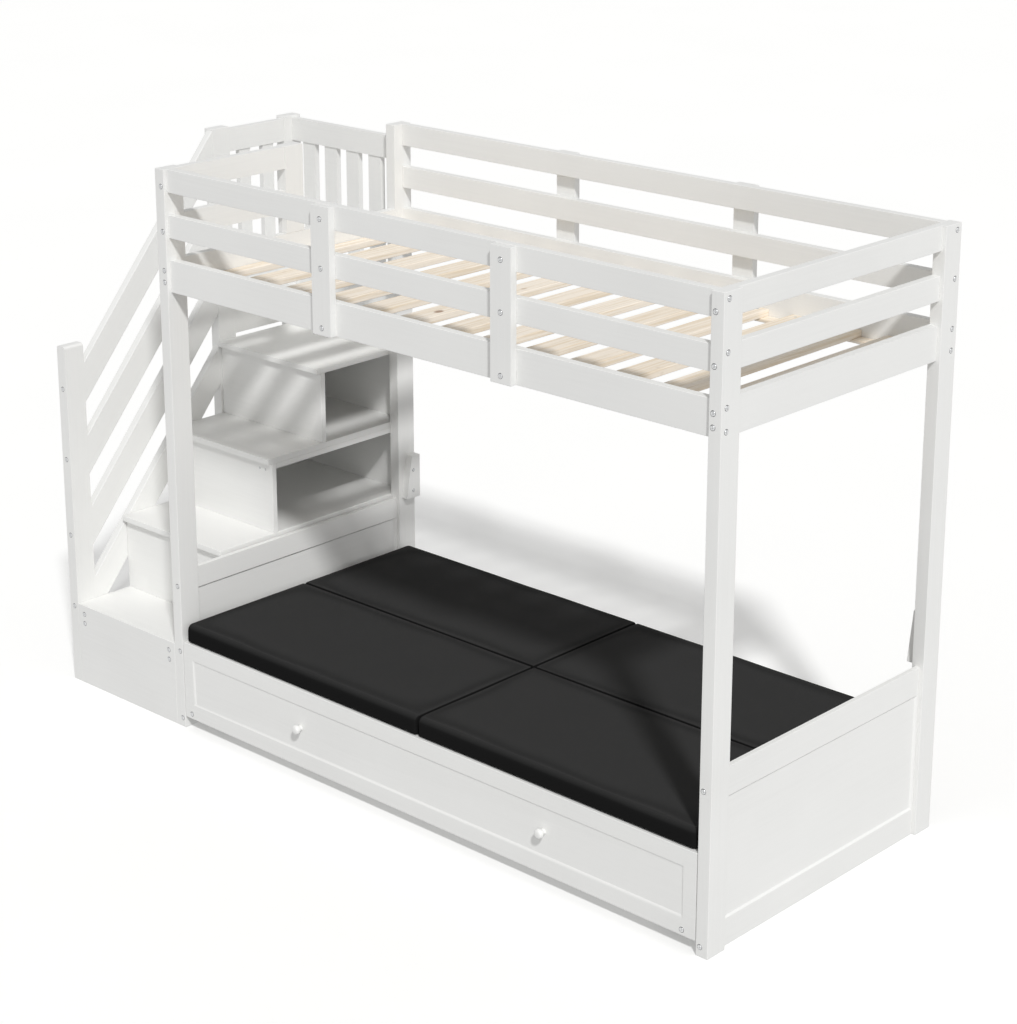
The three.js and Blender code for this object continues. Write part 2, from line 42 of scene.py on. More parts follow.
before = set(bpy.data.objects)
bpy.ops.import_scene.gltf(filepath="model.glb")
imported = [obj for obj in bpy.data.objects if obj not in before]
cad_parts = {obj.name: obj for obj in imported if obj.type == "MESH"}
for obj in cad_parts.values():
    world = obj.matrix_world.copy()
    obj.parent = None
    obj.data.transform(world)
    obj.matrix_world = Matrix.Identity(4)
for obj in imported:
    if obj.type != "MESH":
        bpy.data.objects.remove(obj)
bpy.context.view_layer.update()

MM = 0.001
MAIN_BODY = "bed_and_stairs"
TRUNDLE_BODY = "trundle"

# Colours, in sRGB
PAINT_WHITE = "f0f0ee"
PINE_EARLY_WOOD = "fbf1e3"
PINE_LATE_WOOD = "f0e0c8"
PINE_KNOT = "8a5a30"
CLOTH_BLACK = "363636"
# Painted shade: the deeper black of the cushions' sides
CLOTH_SIDE_PAINTED_SHADE = "1e1e1e"
ZINC_GREY = "dcddde"
# Painted shade: the dark ring round each bolt head, for a counterbore's shadow gap
BOLT_RING_SHADE_GREY = "6b6c6e"
TREAD_RUBBER = "303133"
FLOOR_PALE = "f8f8f7"
STUDIO_WHITE = "ffffff"


def linear(code):
    """An sRGB hex code as linear red, green and blue."""
    values = [int(code[i:i + 2], 16) / 255 for i in (0, 2, 4)]
    return [v / 12.92 if v <= 0.04045 else ((v + 0.055) / 1.055) ** 2.4 for v in values]


def opaque(colour):
    """The colour with full alpha."""
    return (*tuple(colour)[:3], 1.0)


def shaded(colour, share):
    """The colour, darker or lighter by a share."""
    return [v * share for v in tuple(colour)[:3]]


class LoftBedPaint(bpy.types.PropertyGroup):
    """Colours that a maker would change."""

    paint: bpy.props.FloatVectorProperty(
        name="Paint", description="Satin paint of the boards", subtype="COLOR",
        default=linear(PAINT_WHITE), min=0, max=1)
    pine: bpy.props.FloatVectorProperty(
        name="Pine", description="Light early wood of the bare slats", subtype="COLOR",
        default=linear(PINE_EARLY_WOOD), min=0, max=1)
    cloth: bpy.props.FloatVectorProperty(
        name="Cushion cloth", description="Woven cover of the cushions", subtype="COLOR",
        default=linear(CLOTH_BLACK), min=0, max=1)
    floor: bpy.props.FloatVectorProperty(
        name="Floor", description="Studio floor", subtype="COLOR",
        default=linear(FLOOR_PALE), min=0, max=1)


class LoftBedSizes(bpy.types.PropertyGroup):
    """Sizes that a maker would change."""

    board_edge: bpy.props.FloatProperty(
        name="Board edge", description="Rounding along the painted edges of the boards",
        unit="LENGTH", default=1.6 * MM, min=0.2 * MM, max=4 * MM)
    slat_edge: bpy.props.FloatProperty(
        name="Slat edge", description="Rounding along the planed edges of the slats",
        unit="LENGTH", default=2.5 * MM, min=0.2 * MM, max=6 * MM)
    cushion_edge: bpy.props.FloatProperty(
        name="Cushion edge", description="Rounding of the seen edges of the foam",
        unit="LENGTH", default=20 * MM, min=6 * MM, max=30 * MM)
    bolt_head: bpy.props.FloatProperty(
        name="Bolt head", description="Diameter of the furniture bolts' heads",
        unit="LENGTH", default=13.5 * MM, min=6 * MM, max=16 * MM)
    knob_facets: bpy.props.IntProperty(
        name="Knob facets", description="Faces round a turned knob", default=56, min=24, max=96)


# Colour sockets of a Mix node
MIX_UNDER, MIX_OVER, MIX_RESULT = 6, 7, 2
FINISH_IOR = 1.5


def add_node(tree, kind, settings=None, inputs=None):
    """A node with its settings, and its sockets set or linked from other sockets."""
    node = tree.nodes.new(kind)
    for name, value in (settings or {}).items():
        setattr(node, name, value)
    for name, value in (inputs or {}).items():
        if isinstance(value, bpy.types.NodeSocket):
            tree.links.new(value, node.inputs[name])
        else:
            node.inputs[name].default_value = value
    return node


def new_material(name, colour, roughness, metallic=0.0):
    """A material with a Principled shader of even values, ready for its pattern nodes."""
    material = bpy.data.materials.new(name)
    material.use_nodes = True
    tree = material.node_tree
    tree.nodes.clear()
    shader = add_node(tree, "ShaderNodeBsdfPrincipled", inputs={
        "Base Color": opaque(colour), "Roughness": roughness, "IOR": FINISH_IOR,
        "Metallic": metallic})
    add_node(tree, "ShaderNodeOutputMaterial", inputs={"Surface": shader.outputs["BSDF"]})
    material.diffuse_color = opaque(colour)
    return material, tree, shader


def feed(tree, shader, sockets):
    """Links pattern sockets to the shader's own sockets."""
    for name, socket in sockets.items():
        tree.links.new(socket, shader.inputs[name])


def object_place(tree):
    return add_node(tree, "ShaderNodeTexCoord").outputs["Object"]


def lengthwise(tree, turn, across_mm, along_mm):
    """Object coordinates stretched along a board: turn brings the board's length to X."""
    turned_place = add_node(tree, "ShaderNodeMapping", {"vector_type": "TEXTURE"}, {
        "Vector": object_place(tree), "Rotation": turn}).outputs["Vector"]
    scale = (1 / (along_mm * MM), 1 / (across_mm * MM), 1 / (across_mm * MM))
    return add_node(tree, "ShaderNodeMapping", {"vector_type": "POINT"}, {
        "Vector": turned_place, "Scale": scale}).outputs["Vector"]


def stretched_noise(tree, place, **inputs):
    """Noise whose size is already in the coordinates."""
    return add_node(tree, "ShaderNodeTexNoise", inputs={
        "Vector": place, "Scale": 1.0, **inputs}).outputs["Fac"]


def spotted_noise(tree, size_mm, **inputs):
    """Noise with spots of one size, in object coordinates."""
    return add_node(tree, "ShaderNodeTexNoise", inputs={
        "Vector": object_place(tree), "Scale": 1 / (size_mm * MM), **inputs}).outputs["Fac"]


def worked_out(tree, operation, *values):
    """The result of a Math node on sockets or numbers."""
    node = add_node(tree, "ShaderNodeMath", {"operation": operation}, dict(enumerate(values)))
    return node.outputs["Value"]


def ranged(tree, value, reach, result, kind="LINEAR"):
    """A value that runs through one range, brought to another."""
    return add_node(tree, "ShaderNodeMapRange", {"interpolation_type": kind}, {
        "Value": value, "From Min": reach[0], "From Max": reach[1],
        "To Min": result[0], "To Max": result[1]}).outputs["Result"]


def mixed(tree, factor, under, over, blend="MIX"):
    """One colour over another, each a socket or a value."""
    return add_node(tree, "ShaderNodeMix", {"data_type": "RGBA", "blend_type": blend}, {
        "Factor": factor, MIX_UNDER: under, MIX_OVER: over}).outputs[MIX_RESULT]


def ramp(tree, factor, stops):
    """A colour ramp through (position, colour) stops."""
    node = add_node(tree, "ShaderNodeValToRGB", inputs={"Fac": factor})
    elements = node.color_ramp.elements
    while len(elements) < len(stops):
        elements.new(0.5)
    for element, (position, colour) in zip(elements, stops):
        element.position = position
        element.color = opaque(colour)
    return node.outputs["Color"]


def mottled(tree, pattern, colour, dark, light):
    """The colour, shaded from dark to light by a noise pattern."""
    return ramp(tree, pattern, [(0.3, shaded(colour, dark)), (0.7, shaded(colour, light))])


def bumped(tree, height, strength, depth_mm, under=None):
    """A bump from a height pattern, on top of another bump where one is given."""
    inputs = {"Height": height, "Strength": strength, "Distance": depth_mm * MM}
    if under is not None:
        inputs["Normal"] = under
    return add_node(tree, "ShaderNodeBump", inputs=inputs).outputs["Normal"]


ALONG_X = (0.0, 0.0, 0.0)
ALONG_Y = (0.0, 0.0, math.radians(90))
ALONG_Z = (0.0, math.radians(-90), 0.0)
UP_THE_STAIRS = (0.0, math.radians(-50), math.radians(90))


def satin_white_paint(name, colour, turn):
    # Sprayed satin paint on planed pine. It is even and slightly warm, with the
    # wood's long grain just felt through it and a faint orange peel in the gloss.
    grain_mm = 7
    grain_length_mm = 260
    peel_mm = 5
    blotch_mm = 380
    material, tree, shader = new_material(name, colour, 0.42)
    grain = stretched_noise(
        tree, lengthwise(tree, turn, grain_mm, grain_length_mm),
        Detail=3.0, Roughness=0.55, Distortion=0.2)
    tone = add_node(tree, "ShaderNodeMix", {"data_type": "FLOAT"}, {
        "Factor": 0.35, "A": spotted_noise(tree, blotch_mm, Detail=2.0), "B": grain})
    peel = bumped(tree, spotted_noise(tree, peel_mm, Detail=1.0), 0.12, 0.12)
    feed(tree, shader, {
        "Base Color": ramp(tree, tone.outputs["Result"], [
            (0.3, shaded(colour, 0.965)), (0.5, colour), (0.7, shaded(colour, 1.02))]),
        "Roughness": ranged(tree, grain, (0.0, 1.0), (0.36, 0.5)),
        "Normal": bumped(tree, grain, 0.3, 0.25, peel)})
    return material


def planed_bare_pine(name, colour, turn):
    # Knotty pine planed and left bare. Pale early wood and honey late wood run
    # the length of each slat, no two slats are alike, and knots sit here and there.
    ring_mm = 9
    ring_length_mm = 420
    fibre_mm = 1.4
    fibre_length_mm = 60
    knot_mm = 150
    knot_length_mm = 225
    material, tree, shader = new_material(name, colour, 0.55)
    slat = add_node(tree, "ShaderNodeNewGeometry").outputs["Random Per Island"]
    shift = worked_out(tree, "MULTIPLY", slat, 40.0)

    def in_its_own_log(place):
        """The coordinates, moved to another part of the pattern for each slat."""
        return add_node(tree, "ShaderNodeVectorMath", {"operation": "ADD"}, {
            0: place, 1: shift}).outputs["Vector"]

    rings = stretched_noise(
        tree, in_its_own_log(lengthwise(tree, turn, ring_mm, ring_length_mm)),
        Detail=2.5, Roughness=0.5, Distortion=0.35)
    bands = ramp(tree, rings, [
        (0.36, shaded(colour, 1.03)), (0.5, colour), (0.6, linear(PINE_LATE_WOOD)),
        (0.7, colour)])
    fibres = stretched_noise(
        tree, lengthwise(tree, turn, fibre_mm, fibre_length_mm), Detail=2.0)
    fibre_tone = ramp(tree, fibres, [(0.3, [0.9] * 3), (0.6, [1.0] * 3)])
    fibred = mixed(tree, 0.6, bands, fibre_tone, "MULTIPLY")
    knots = add_node(tree, "ShaderNodeTexVoronoi", inputs={
        "Vector": in_its_own_log(lengthwise(tree, turn, knot_mm, knot_length_mm)),
        "Scale": 1.0, "Randomness": 1.0}).outputs["Distance"]
    knot_mask = ranged(tree, knots, (0.05, 0.1), (0.75, 0.0), "SMOOTHSTEP")
    knotted = mixed(tree, knot_mask, fibred, opaque(linear(PINE_KNOT)))
    slat_tone = ramp(tree, slat, [(0.0, [0.96, 0.945, 0.92]), (1.0, [1.0, 1.0, 1.0])])
    feed(tree, shader, {
        "Base Color": mixed(tree, 1.0, knotted, slat_tone, "MULTIPLY"),
        "Normal": bumped(tree, fibres, 0.35, 0.2)})
    return material


def woven_black_cloth(name, colour):
    # Plain-woven matt polyester over foam. It drinks the light with no gloss at all, its
    # face creases softly, and its threads show only close by. The threads are drawn
    # 1.6 mm apart, about twice the real spacing, so they show. Where the cover turns down
    # round the sides it is painted a deeper black than the face: painted shade, not a second cloth.
    thread_mm = 1.6
    crease_mm = 110
    side_shade_reach = (0.3, 1.0)
    material, tree, shader = new_material(name, colour, 0.9)
    shader.inputs["Specular IOR Level"].default_value = 0.0
    spots = add_node(tree, "ShaderNodeTexCoord")
    threads = []
    for axis in ("X", "Y", "Z"):
        threads.append(add_node(tree, "ShaderNodeTexWave", {
            "wave_type": "BANDS", "bands_direction": axis, "wave_profile": "SIN"}, {
                "Vector": spots.outputs["Object"], "Scale": math.pi / (10 * thread_mm * MM),
                "Distortion": 0.6, "Detail": 1.0, "Detail Scale": 2.0}).outputs["Fac"])
    weave = worked_out(tree, "ADD", worked_out(tree, "ADD", *threads[:2]), threads[2])
    tone = ramp(tree, worked_out(tree, "DIVIDE", weave, float(len(threads))), [
        (0.25, shaded(colour, 0.75)), (0.75, shaded(colour, 1.25))])
    # Painted shade: the further the cover turns from facing up, the more it takes the darker side
    # colour
    upward = add_node(tree, "ShaderNodeSeparateXYZ", inputs={"Vector": spots.outputs["Normal"]})
    face = ranged(tree, upward.outputs["Z"], side_shade_reach, (0.0, 1.0))
    crease = spotted_noise(tree, crease_mm, Detail=3.0, Roughness=0.45)
    feed(tree, shader, {
        "Base Color": mixed(tree, face, opaque(linear(CLOTH_SIDE_PAINTED_SHADE)), tone),
        "Normal": bumped(tree, crease, 0.35, 4, bumped(tree, weave, 0.5, 0.25))})
    return material


def zinc_plated_steel(name, colour, roughness):
    # Pressed steel with a thin bright zinc plating: pale grey, softly mottled, half dull.
    fleck_mm = 1.2
    material, tree, shader = new_material(name, colour, roughness, metallic=1.0)
    flecks = spotted_noise(tree, fleck_mm, Detail=2.0)
    feed(tree, shader, {
        "Base Color": mottled(tree, flecks, colour, 0.85, 1.05),
        "Roughness": ranged(tree, flecks, (0.0, 1.0), (roughness - 0.07, roughness + 0.1))})
    return material


def bolt_ring_painted_shade(name, colour):
    # Painted shade: a thin dark ring round each bolt head, standing in for the shadow gap of a
    # counterbore. It is dull, half metallic and faintly cloudy.
    cloud_mm = 2.5
    material, tree, shader = new_material(name, colour, 0.5, metallic=0.6)
    clouds = spotted_noise(tree, cloud_mm, Detail=1.0)
    feed(tree, shader, {"Base Color": mottled(tree, clouds, colour, 0.8, 1.15)})
    return material


def moulded_grey_rubber(name, colour):
    # Thermoplastic rubber of the castors, moulded: dark grey, dull, and faintly pitted.
    pit_mm = 0.9
    material, tree, shader = new_material(name, colour, 0.68)
    pits = spotted_noise(tree, pit_mm, Detail=2.0)
    feed(tree, shader, {
        "Base Color": mottled(tree, pits, colour, 0.8, 1.15),
        "Normal": bumped(tree, pits, 0.3, 0.15)})
    return material


FLOOR_GLOW = 0.16


def studio_floor(name, colour):
    # Seamless studio paper: matt, nearly white, with the slightest cloud in it. A faint
    # even glow keeps it as pale as the photograph's ground.
    paper_mm = 900
    material, tree, shader = new_material(name, colour, 0.9)
    cloud = spotted_noise(tree, paper_mm, Detail=1.0)
    feed(tree, shader, {"Base Color": mottled(tree, cloud, colour, 0.99, 1.0)})
    shader.inputs["Emission Color"].default_value = opaque(colour)
    shader.inputs["Emission Strength"].default_value = FLOOR_GLOW
    material.cycles.emission_sampling = "NONE"
    return material


# Words in the names of the boards whose length, and so whose grain, isn't along X
LONG_IN_Y = (
    "rail_right_end", "rail_left_end", "end_panel", "stair_side", "gallery_left",
)
LONG_IN_Z = ("post", "stanchion", "bracket")
CASTOR_NODES = [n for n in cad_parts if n.startswith("wheel_")]
CUSHION_NODES = [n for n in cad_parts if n.startswith("cushion_")]
KNOB_NODES = [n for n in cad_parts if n.startswith("knob_")]
SLAT_NODE = "slatted_base"
BOARD_NODES = [
    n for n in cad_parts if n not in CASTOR_NODES + CUSHION_NODES + KNOB_NODES + [SLAT_NODE]
]
WELD_REACH = 0.01 * MM
SHARP_ANGLE = math.radians(30)
CASTOR_EDGE = 0.8 * MM


def dress(node, material, edge):
    """Gives a solid its material and eased edges."""
    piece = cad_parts[node]
    piece.data.materials.clear()
    piece.data.materials.append(material)
    weld = piece.modifiers.new("weld", "WELD")
    weld.merge_threshold = WELD_REACH
    bevel = piece.modifiers.new("eased edges", "BEVEL")
    bevel.width = edge
    bevel.segments = 2
    bevel.limit_method = "ANGLE"
    bevel.angle_limit = SHARP_ANGLE
    bevel.use_clamp_overlap = True
    normals = piece.modifiers.new("flat faces", "WEIGHTED_NORMAL")
    normals.keep_sharp = False


class LOFTBED_OT_paint_boards(bpy.types.Operator):
    """Paints the boards, posts, rails and panels and eases their edges"""

    bl_idname = "loftbed.paint_boards"
    bl_label = "Paint the boards"

    def execute(self, context):
        colour = context.scene.loft_bed_paint.paint
        edge = context.scene.loft_bed_sizes.board_edge
        along_x = satin_white_paint("satin_white_paint_along_x", colour, ALONG_X)
        along_y = satin_white_paint("satin_white_paint_along_y", colour, ALONG_Y)
        along_z = satin_white_paint("satin_white_paint_along_z", colour, ALONG_Z)
        sloping = satin_white_paint("satin_white_paint_up_the_stairs", colour, UP_THE_STAIRS)
        for node in BOARD_NODES:
            material = along_x
            if "slope_rail" in node:
                material = sloping
            elif any(word in node for word in LONG_IN_Y):
                material = along_y
            elif any(word in node for word in LONG_IN_Z):
                material = along_z
            dress(node, material, edge)
        return {"FINISHED"}


def new_piece(name, mesh, material, body):
    """An object in the row frame that rides on a body."""
    piece = bpy.data.objects.new(name, mesh)
    bpy.context.scene.collection.objects.link(piece)
    mesh.materials.append(material)
    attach(piece, body)
    return piece


def finish_mesh(build, name, smooth=True):
    """A mesh from a bmesh, with outward faces."""
    bmesh.ops.recalc_face_normals(build, faces=build.faces)
    mesh = bpy.data.meshes.new(name)
    build.to_mesh(mesh)
    build.free()
    for face in mesh.polygons:
        face.use_smooth = smooth
    return mesh


def add_board(build, low, high):
    """A closed board between two corners."""
    made = bmesh.ops.create_cube(build, size=1.0)
    size = [b - a for a, b in zip(low, high)]
    middle = [(a + b) / 2 for a, b in zip(low, high)]
    bmesh.ops.scale(build, vec=size, verts=made["verts"])
    bmesh.ops.translate(build, vec=middle, verts=made["verts"])


def turned(build, outline, sides, place, radius, height, dark=()):
    """A closed turned form about its own Z from an outline of (radius, height) shares.
    The segments of the outline that are dark take the second material."""
    rings = []
    for share, level in outline:
        if share == 0:
            rings.append([build.verts.new(place @ Vector((0, 0, level * height)))])
            continue
        ring = []
        for i in range(sides):
            angle = 2 * math.pi * i / sides
            spot = Vector((
                share * radius * math.cos(angle), share * radius * math.sin(angle), level * height))
            ring.append(build.verts.new(place @ spot))
        rings.append(ring)
    for number, (first, second) in enumerate(zip(rings, rings[1:])):
        for i in range(sides):
            j = (i + 1) % sides
            corners = [first[i % len(first)], first[j % len(first)],
                       second[j % len(second)], second[i % len(second)]]
            face = build.faces.new(list(dict.fromkeys(corners)))
            face.material_index = int(number in dark)


# Outlines of turned pieces, as shares of the radius and of the height
SCREW_OUTLINE = [
    (0.0, 0.35), (0.22, 0.35), (0.3, 0.95), (0.75, 0.9), (1.0, 0.3), (1.0, -1.0), (0.0, -1.0),
]
BOLT_OUTLINE = [
    (0.0, 0.55), (0.3, 0.55), (0.32, 0.96), (0.45, 1.0), (0.72, 0.94), (0.83, 0.65), (0.85, 0.14),
    (1.0, 0.12), (1.0, -0.4), (0.0, -0.4),
]
KNOB_OUTLINE = [
    (0.0, 0.0), (0.66, 0.0), (0.6, 0.06), (0.57, 0.15), (0.58, 0.26), (0.67, 0.36), (0.81, 0.45),
    (0.93, 0.54), (0.99, 0.63), (1.0, 0.71), (0.97, 0.8), (0.87, 0.9), (0.7, 0.96), (0.45, 0.99),
    (0.0, 1.0),
]

# Turns that bring a turned piece's own Z to the way it faces
FACINGS = {
    "-y": Matrix.Rotation(math.radians(90), 4, "X"),
    "+y": Matrix.Rotation(math.radians(-90), 4, "X"),
    "+x": Matrix.Rotation(math.radians(90), 4, "Y"),
    "-x": Matrix.Rotation(math.radians(-90), 4, "Y"),
}

SLAT_COUNT = 12
SLAT_PITCH = 155.5 * MM
SLAT_WIDTH = 75 * MM
SLAT_THICKNESS = 20 * MM
SLAT_LEFT_MARGIN = 158.5 * MM
LEDGE_WIDTH = 40 * MM
END_SLAT_CLEARANCE = 1 * MM
END_SLAT_WIDTH = 45 * MM
SCREW_SPREAD = 26 * MM
SCREW_HEAD_RADIUS = 4 * MM
SCREW_HEAD_RISE = 0.5 * MM
SCREW_SIDES = 16


class LOFTBED_OT_lay_slats(bpy.types.Operator):
    """Lays the bare pine slats and screws them to their ledges"""

    bl_idname = "loftbed.lay_slats"
    bl_label = "Lay the slats"

    def execute(self, context):
        low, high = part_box(SLAT_NODE)
        under = high.z - SLAT_THICKNESS
        pine = context.scene.loft_bed_paint.pine
        slats = bmesh.new()
        centres = [low.x + SLAT_LEFT_MARGIN + i * SLAT_PITCH for i in range(SLAT_COUNT)]
        for x in centres:
            add_board(
                slats, (x - SLAT_WIDTH / 2, low.y, under), (x + SLAT_WIDTH / 2, high.y, high.z))
        trimmed = low.x + END_SLAT_CLEARANCE
        add_board(slats, (trimmed, low.y, under), (trimmed + END_SLAT_WIDTH, high.y, high.z))
        piece = new_piece(
            "bed_slats", finish_mesh(slats, "bed_slats"),
            planed_bare_pine("planed_bare_pine_slats", pine, ALONG_Y), MAIN_BODY)
        ledges = bmesh.new()
        add_board(ledges, low, (high.x, low.y + LEDGE_WIDTH, under))
        add_board(ledges, (low.x, high.y - LEDGE_WIDTH, low.z), (high.x, high.y, under))
        strip = new_piece(
            "slat_ledges", finish_mesh(ledges, "slat_ledges"),
            planed_bare_pine("planed_bare_pine_ledges", pine, ALONG_X), MAIN_BODY)
        for obj in (piece, strip):
            bevel = obj.modifiers.new("eased edges", "BEVEL")
            bevel.width = context.scene.loft_bed_sizes.slat_edge
            bevel.segments = 3
            obj.modifiers.new("flat faces", "WEIGHTED_NORMAL")
        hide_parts(SLAT_NODE)
        self.drive_screws([trimmed + END_SLAT_WIDTH / 2, *centres], low, high)
        return {"FINISHED"}

    @staticmethod
    def drive_screws(centres, low, high):
        """Two screws through each end of every slat into its ledge."""
        inset = LEDGE_WIDTH / 2
        heads = bmesh.new()
        for x in centres:
            for y in (low.y + inset, high.y - inset):
                for across in (-SCREW_SPREAD / 2, SCREW_SPREAD / 2):
                    turned(heads, SCREW_OUTLINE, SCREW_SIDES,
                           Matrix.Translation((x + across, y, high.z)),
                           SCREW_HEAD_RADIUS, SCREW_HEAD_RISE)
        steel = zinc_plated_steel("zinc_plated_screws", linear(ZINC_GREY), 0.38)
        new_piece("slat_screws", finish_mesh(heads, "slat_screws"), steel, MAIN_BODY)


class LOFTBED_OT_turn_knobs(bpy.types.Operator):
    """Turns the two round knobs on the trundle's front"""

    bl_idname = "loftbed.turn_knobs"
    bl_label = "Turn the knobs"

    def execute(self, context):
        paint = context.scene.loft_bed_paint.paint
        material = satin_white_paint("satin_white_paint_turned", paint, ALONG_Y)
        for node in KNOB_NODES:
            low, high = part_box(node)
            foot = Vector(((low.x + high.x) / 2, high.y, (low.z + high.z) / 2))
            build = bmesh.new()
            turned(build, KNOB_OUTLINE, context.scene.loft_bed_sizes.knob_facets,
                   Matrix.Translation(foot) @ FACINGS["-y"], (high.x - low.x) / 2, high.y - low.y)
            name = node.replace("knob", "turned_knob")
            piece = new_piece(
                name, finish_mesh(build, name), material, TRUNDLE_BODY)
            smooth = piece.modifiers.new("smooth", "SUBSURF")
            smooth.levels = smooth.render_levels = 1
            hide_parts(node)
        return {"FINISHED"}


class LOFTBED_OT_fit_castors(bpy.types.Operator):
    """Gives the castors their moulded rubber and softens their rims"""

    bl_idname = "loftbed.fit_castors"
    bl_label = "Fit the castors"

    def execute(self, context):
        rubber = moulded_grey_rubber("moulded_grey_rubber", linear(TREAD_RUBBER))
        for node in CASTOR_NODES:
            dress(node, rubber, CASTOR_EDGE)
        return {"FINISHED"}


BOLT_SIDES = 18
BOLT_RISE = 1.8 * MM
# The head's share of the dark ring's radius, and the outline's segments that make the ring painted
# in shade
BOLT_HEAD_SHARE = 0.85
BOLT_DARK = (6, 7)

# Where the bolts are seen: levels are heights in mm, insets are from a piece's side
FRONT_POST_LEVELS = (1677, 1545, 1430, 1395, 456, 28)
STAIR_BOLT_LEVEL = 247
POST_BOLT_INSET = 13 * MM
SIDE_POST_LEVELS = (1709, 1579, 1444, 1385)
SIDE_POST_BOLT_INSET = 20 * MM
STANCHION_LEVELS = (1689, 1553, 1387)
NEWEL_LEVELS = (966, 738, 489, 252)
STAIR_FRONT_LEVELS = (236, 205)
STAIR_FRONT_INSETS = (30 * MM, 29 * MM)
TRUNDLE_LEVEL = 54
TRUNDLE_INSETS = (29 * MM, 43 * MM)
BRACKET_LEVELS = (594, 524)
BRACKET_BOLT_INSET = 29.4 * MM
BRACKET_BOLT_SHARE = 0.7
# Two small screws near the top corner of the third riser
RISER_SCREW_INSETS = (58 * MM, 32 * MM)
RISER_SCREW_DROP = 25 * MM
RISER_SCREW_SHARE = 0.45


def long_side(low, high, front):
    """The outer face of a piece on a long side of the bed, and the way it faces."""
    return (low.y, "-y") if front else (high.y, "+y")


class LOFTBED_OT_drive_bolts(bpy.types.Operator):
    """Drives the furniture bolts into the posts, stanchions and panels"""

    bl_idname = "loftbed.drive_bolts"
    bl_label = "Drive the bolts"

    def execute(self, context):
        steel = zinc_plated_steel("zinc_plated_bolts", linear(ZINC_GREY), 0.4)
        ring_shade = bolt_ring_painted_shade("painted_shade_bolt_rings", linear(BOLT_RING_SHADE_GREY))
        radius = context.scene.loft_bed_sizes.bolt_head / 2 / BOLT_HEAD_SHARE
        bed, trundle = bmesh.new(), bmesh.new()

        def bolt(build, x, y, z, facing, share=1.0):
            turned(build, BOLT_OUTLINE, BOLT_SIDES, Matrix.Translation((x, y, z)) @ FACINGS[facing],
                   radius * share, BOLT_RISE * share, BOLT_DARK)

        for node in ("post_front_right", "post_front_left", "post_back_right", "post_back_left"):
            low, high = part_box(node)
            front, right = "front" in node, "right" in node
            across = low.x + POST_BOLT_INSET if right else high.x - POST_BOLT_INSET
            face, facing = long_side(low, high, front)
            for level in FRONT_POST_LEVELS if right else (*FRONT_POST_LEVELS, STAIR_BOLT_LEVEL):
                bolt(bed, across, face, level * MM, facing)
            deep = low.y + SIDE_POST_BOLT_INSET if front else high.y - SIDE_POST_BOLT_INSET
            for level in SIDE_POST_LEVELS:
                bolt(bed, high.x if right else low.x, deep, level * MM, "+x" if right else "-x")
        for node in (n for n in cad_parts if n.startswith("stanchion")):
            low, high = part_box(node)
            face, facing = long_side(low, high, "front" in node)
            for level in STANCHION_LEVELS:
                bolt(bed, (low.x + high.x) / 2, face, level * MM, facing)
        low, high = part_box("newel_post")
        for level in NEWEL_LEVELS:
            bolt(bed, (low.x + high.x) / 2, low.y, level * MM, "-y")
        low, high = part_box("stair_front_panel")
        for x in (low.x + STAIR_FRONT_INSETS[0], high.x - STAIR_FRONT_INSETS[1]):
            for level in STAIR_FRONT_LEVELS:
                bolt(bed, x, low.y, level * MM, "-y")
        for side in ("left", "right"):
            low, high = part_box(f"backrest_bracket_{side}")
            face, facing = (high.x, "+x") if side == "left" else (low.x, "-x")
            for level in BRACKET_LEVELS:
                bolt(bed, face, high.y - BRACKET_BOLT_INSET, level * MM, facing, BRACKET_BOLT_SHARE)
        low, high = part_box("riser_3")
        for inset in RISER_SCREW_INSETS:
            bolt(bed, high.x - inset, low.y, high.z - RISER_SCREW_DROP, "-y", RISER_SCREW_SHARE)
        low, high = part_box("trundle_front")
        for x in (low.x + TRUNDLE_INSETS[0], high.x - TRUNDLE_INSETS[1]):
            bolt(trundle, x, low.y, TRUNDLE_LEVEL * MM, "-y")
        for name, build, body in (
                ("frame_bolts", bed, MAIN_BODY), ("trundle_bolts", trundle, TRUNDLE_BODY)):
            heads = new_piece(name, finish_mesh(build, name), steel, body)
            heads.data.materials.append(ring_shade)
        return {"FINISHED"}


CUSHION_SHRINK = 1 * MM
CUSHION_CELL = 10 * MM
JOINT_EDGE = 4 * MM
BOTTOM_EDGE = 2 * MM
CUSHION_SIDE_GAP = 0.3 * MM
CUSHION_FRONT_OVERHANG = 5 * MM
# Where the cushion's grid is cut near a side, as shares of the rounding of that side
SEEN_CUTS = (0.0, 0.33, 0.59, 0.8, 1.0, 1.5)
JOINT_CUTS = (0.0, 0.42, 1.0, 2.2)

# The cover fills out under pressure, and the cap holds each point near the foam
CUSHION_CAP = 5 * MM
SWELL_FRAMES = 20
SWELL_SETTINGS = {
    "use_pressure": True, "uniform_pressure_force": 4.0, "tension_stiffness": 40,
    "compression_stiffness": 40, "shear_stiffness": 20, "bending_stiffness": 3, "quality": 4,
}

# How a cushion lies: slow waves of its face, and the last stretch before the CAD's top
SOFT_REACH = 3 * MM
WAVE_LENGTH = 170 * MM
WAVE_HEIGHT = 1.1 * MM
WAVE_BIAS = 0.4


def cut_shares(half, low_edge, low_cuts, high_edge, high_cuts, cell):
    """Places from -1 to 1 along one axis: close together in both roundings, then even."""
    start = low_edge * low_cuts[-1] - half
    end = half - high_edge * high_cuts[-1]
    count = max(1, round((end - start) / cell))
    places = [low_edge * cut - half for cut in low_cuts[:-1]]
    places += [start + (end - start) * i / count for i in range(count + 1)]
    places += [half - high_edge * cut for cut in reversed(high_cuts[:-1])]
    return [place / half for place in places]


